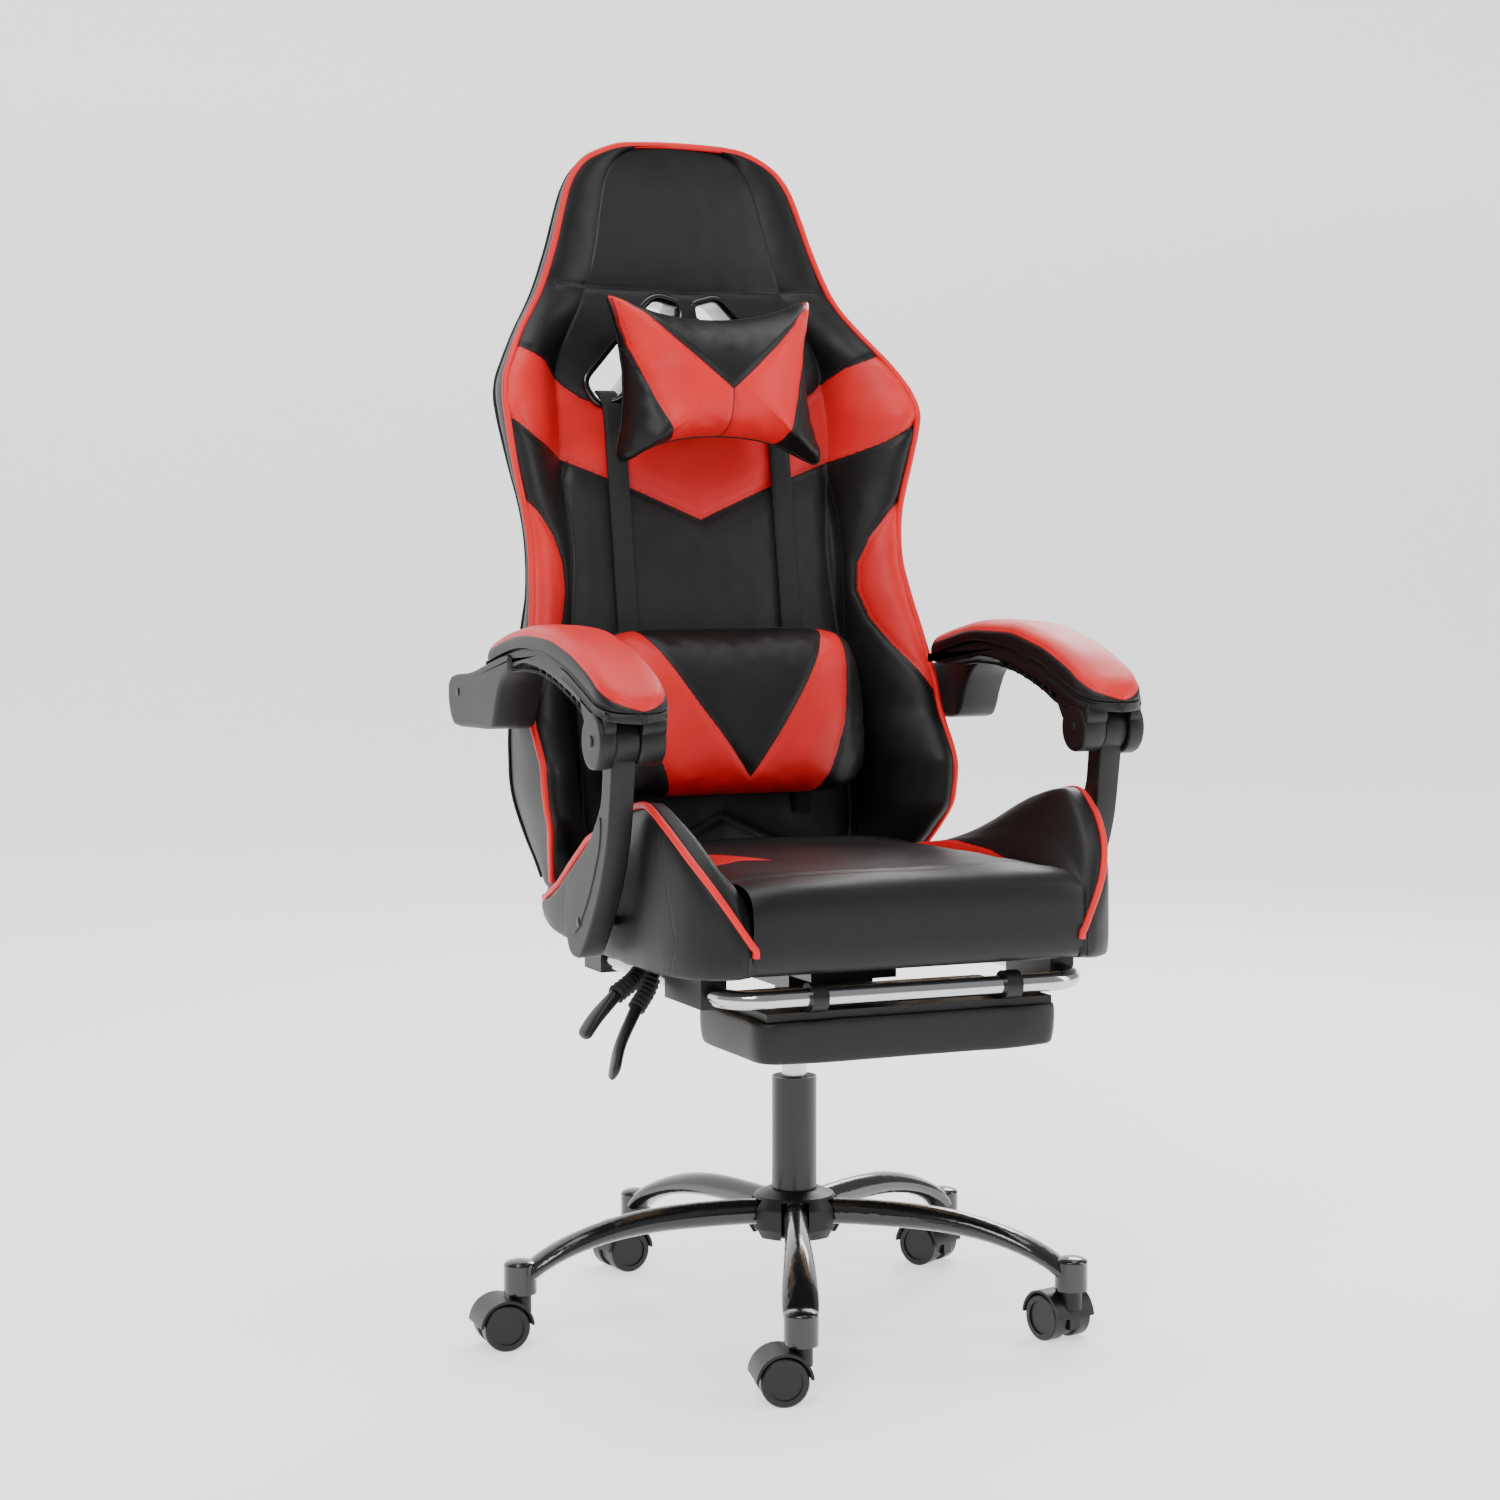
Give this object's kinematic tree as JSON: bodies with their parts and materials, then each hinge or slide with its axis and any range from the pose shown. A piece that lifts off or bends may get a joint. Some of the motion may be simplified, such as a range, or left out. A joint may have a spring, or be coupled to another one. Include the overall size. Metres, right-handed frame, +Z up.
{
  "type": "gaming chair",
  "caption": "High-backed reclining swivel chair with winged padded back, linked armrests, neck and waist pillows, slide-out footrest and a star base on casters.",
  "frame": {"origin": "on the floor under the axis of the gas column", "axes": "+Z up, -Y the way the chair faces, +X the sitter's left"},
  "size_m": [0.6837, 0.7011, 1.341],
  "materials": {
    "leather": "satin, soft grain",
    "pillow_leather": "satin, soft grain",
    "webbing": "woven",
    "arm_plastic": "matt",
    "arm_pad": "satin",
    "black_steel": "powder coat",
    "gloss_base": "gloss",
    "matte_black": "matt",
    "gloss_bezel": "gloss",
    "chrome": "polished",
    "bright_steel": "turned",
    "plywood": "unfinished",
    "rubber": "matt",
    "wheel_nylon": "satin"
  },
  "bodies": {
    "base": {"base_legs": "gloss_base", "base_hub": "gloss_base", "hub_cover": "matte_black", "column_tube": "black_steel", "guide_bush": "matte_black"},
    "spindle": {"piston_rod": "bright_steel"},
    "seat": {"lift_tube": "bright_steel", "mechanism": "black_steel", "seat_frame": "black_steel", "seat_board": "plywood", "seat_cushion": "leather", "seat_bolsters": "leather", "footrest_guides": "matte_black", "recline_brackets": "black_steel", "arm_bolts": "black_steel"},
    "lift_lever": {"lift_lever_rod": "black_steel", "lift_lever_boot": "rubber", "lift_lever_paddle": "matte_black"},
    "recline_lever": {"recline_lever_rod": "black_steel", "recline_lever_boot": "rubber", "recline_lever_paddle": "matte_black"},
    "footrest": {"footrest_frame": "chrome"},
    "footrest_pad": {"footrest_pad": "leather", "footrest_board": "matte_black", "footrest_clips": "matte_black"},
    "back": {"back_frame": "black_steel", "back_pad": "leather", "strap_bezels": "gloss_bezel", "lumbar_straps": "webbing", "arm_rear_bolts": "black_steel"},
    "head_pillow": {"head_pillow": "pillow_leather"},
    "lumbar_pillow": {"lumbar_pillow": "pillow_leather"},
    "post_left": {"arm_post_left": "arm_plastic"},
    "arm_left": {"arm_shell_left": "arm_plastic", "arm_pad_left": "arm_pad", "arm_pin_left": "black_steel"},
    "post_right": {"arm_post_right": "arm_plastic"},
    "arm_right": {"arm_shell_right": "arm_plastic", "arm_pad_right": "arm_pad", "arm_pin_right": "black_steel"},
    "caster_1": {"caster_hood_1": "gloss_base", "caster_pins_1": "bright_steel"},
    "wheel_1_left": {"caster_wheel_1_left": "wheel_nylon"},
    "wheel_1_right": {"caster_wheel_1_right": "wheel_nylon"},
    "caster_2": {"caster_hood_2": "gloss_base", "caster_pins_2": "bright_steel"},
    "wheel_2_left": {"caster_wheel_2_left": "wheel_nylon"},
    "wheel_2_right": {"caster_wheel_2_right": "wheel_nylon"},
    "caster_3": {"caster_hood_3": "gloss_base", "caster_pins_3": "bright_steel"},
    "wheel_3_left": {"caster_wheel_3_left": "wheel_nylon"},
    "wheel_3_right": {"caster_wheel_3_right": "wheel_nylon"},
    "caster_4": {"caster_hood_4": "gloss_base", "caster_pins_4": "bright_steel"},
    "wheel_4_left": {"caster_wheel_4_left": "wheel_nylon"},
    "wheel_4_right": {"caster_wheel_4_right": "wheel_nylon"},
    "caster_5": {"caster_hood_5": "gloss_base", "caster_pins_5": "bright_steel"},
    "wheel_5_left": {"caster_wheel_5_left": "wheel_nylon"},
    "wheel_5_right": {"caster_wheel_5_right": "wheel_nylon"}
  },
  "joints": [
    {"name": "swivel", "type": "hinge", "parent": "base", "child": "spindle", "pos_m": [0, 0, 0.2], "axis": [0, 0, 1], "continuous": true},
    {"name": "seat_height", "type": "slide", "parent": "spindle", "child": "seat", "axis": [0, 0, 1], "range_m": [-0.09, 0]},
    {"name": "caster_swivel_1", "type": "hinge", "parent": "base", "child": "caster_1", "pos_m": [0.26873, 0.16339, 0.07], "axis": [0, 0, 1], "continuous": true},
    {"name": "wheel_spin_1_left", "type": "hinge", "parent": "caster_1", "child": "wheel_1_left", "pos_m": [0.25823, 0.18157, 0.025], "axis": [-0.866, -0.5, 0], "continuous": true},
    {"name": "wheel_spin_1_right", "type": "hinge", "parent": "caster_1", "child": "wheel_1_right", "pos_m": [0.25823, 0.18157, 0.025], "axis": [-0.866, -0.5, 0], "continuous": true},
    {"name": "caster_swivel_2", "type": "hinge", "parent": "base", "child": "caster_2", "pos_m": [-0.07235, 0.30606, 0.07], "axis": [0, 0, 1], "continuous": true},
    {"name": "wheel_spin_2_left", "type": "hinge", "parent": "caster_2", "child": "wheel_2_left", "pos_m": [-0.09315, 0.30314, 0.025], "axis": [0.1392, -0.9903, 0], "continuous": true},
    {"name": "wheel_spin_2_right", "type": "hinge", "parent": "caster_2", "child": "wheel_2_right", "pos_m": [-0.09315, 0.30314, 0.025], "axis": [0.1392, -0.9903, 0], "continuous": true},
    {"name": "caster_swivel_3", "type": "hinge", "parent": "base", "child": "caster_3", "pos_m": [-0.31344, 0.02577, 0.07], "axis": [0, 0, 1], "continuous": true},
    {"name": "wheel_spin_3_left", "type": "hinge", "parent": "caster_3", "child": "wheel_3_left", "pos_m": [-0.33441, 0.02687, 0.025], "axis": [-0.0523, -0.9986, 0], "continuous": true},
    {"name": "wheel_spin_3_right", "type": "hinge", "parent": "caster_3", "child": "wheel_3_right", "pos_m": [-0.33441, 0.02687, 0.025], "axis": [-0.0523, -0.9986, 0], "continuous": true},
    {"name": "caster_swivel_4", "type": "hinge", "parent": "base", "child": "caster_4", "pos_m": [-0.12137, -0.29014, 0.07], "axis": [0, 0, 1], "continuous": true},
    {"name": "wheel_spin_4_left", "type": "hinge", "parent": "caster_4", "child": "wheel_4_left", "pos_m": [-0.14183, -0.28541, 0.025], "axis": [-0.225, -0.9744, 0], "continuous": true},
    {"name": "wheel_spin_4_right", "type": "hinge", "parent": "caster_4", "child": "wheel_4_right", "pos_m": [-0.14183, -0.28541, 0.025], "axis": [-0.225, -0.9744, 0], "continuous": true},
    {"name": "caster_swivel_5", "type": "hinge", "parent": "base", "child": "caster_5", "pos_m": [0.23843, -0.20508, 0.07], "axis": [0, 0, 1], "continuous": true},
    {"name": "wheel_spin_5_left", "type": "hinge", "parent": "caster_5", "child": "wheel_5_left", "pos_m": [0.23407, -0.18454, 0.025], "axis": [-0.9781, -0.2079, 0], "continuous": true},
    {"name": "wheel_spin_5_right", "type": "hinge", "parent": "caster_5", "child": "wheel_5_right", "pos_m": [0.23407, -0.18454, 0.025], "axis": [-0.9781, -0.2079, 0], "continuous": true},
    {"name": "lift_lever_turn", "type": "hinge", "parent": "seat", "child": "lift_lever", "pos_m": [-0.2, -0.106, 0.428], "axis": [1, 0, 0], "range_deg": [0, 12], "stiffness_Nm_per_rad": 2, "springref_deg": -5.73},
    {"name": "recline_lever_turn", "type": "hinge", "parent": "seat", "child": "recline_lever", "pos_m": [-0.2, -0.138, 0.428], "axis": [-1, 0, 0], "range_deg": [0, 12], "stiffness_Nm_per_rad": 2, "springref_deg": -5.73},
    {"name": "footrest_slide", "type": "slide", "parent": "seat", "child": "footrest", "axis": [0, -1, 0], "range_m": [0, 0.28]},
    {"name": "footrest_flip", "type": "hinge", "parent": "footrest", "child": "footrest_pad", "pos_m": [0, -0.3, 0.412], "axis": [-1, 0, 0], "range_deg": [0, 180]},
    {"name": "recline", "type": "hinge", "parent": "seat", "child": "back", "pos_m": [0, 0.2, 0.455], "axis": [-1, 0, 0], "range_deg": [0, 35]},
    {"name": "head_pillow_slide", "type": "slide", "parent": "back", "child": "head_pillow", "axis": [0, 0.1736, 0.9848], "range_m": [-0.03, 0.05]},
    {"name": "lumbar_pillow_slide", "type": "slide", "parent": "back", "child": "lumbar_pillow", "axis": [0, 0.1736, 0.9848], "range_m": [-0.03, 0.08]},
    {"name": "post_turn_left", "type": "hinge", "parent": "seat", "child": "post_left", "pos_m": [0, -0.112, 0.476], "axis": [-1, 0, 0], "range_deg": [0, 37.69]},
    {"name": "arm_turn_left", "type": "hinge", "parent": "post_left", "child": "arm_left", "pos_m": [0, -0.2, 0.669], "axis": [-1, 0, 0], "range_deg": [-27.15, 0]},
    {"name": "post_turn_right", "type": "hinge", "parent": "seat", "child": "post_right", "pos_m": [0, -0.112, 0.476], "axis": [-1, 0, 0], "range_deg": [0, 37.69]},
    {"name": "arm_turn_right", "type": "hinge", "parent": "post_right", "child": "arm_right", "pos_m": [0, -0.2, 0.669], "axis": [-1, 0, 0], "range_deg": [-27.15, 0]}
  ],
  "couplings": [
    {"joint": "footrest_flip", "follows": "footrest_slide", "rad_per_m": 11.22},
    {"joint": "post_turn_left", "follows": "recline", "ratio": 1.071},
    {"joint": "arm_turn_left", "follows": "recline", "ratio": -0.77},
    {"joint": "post_turn_right", "follows": "recline", "ratio": 1.071},
    {"joint": "arm_turn_right", "follows": "recline", "ratio": -0.77}
  ]
}
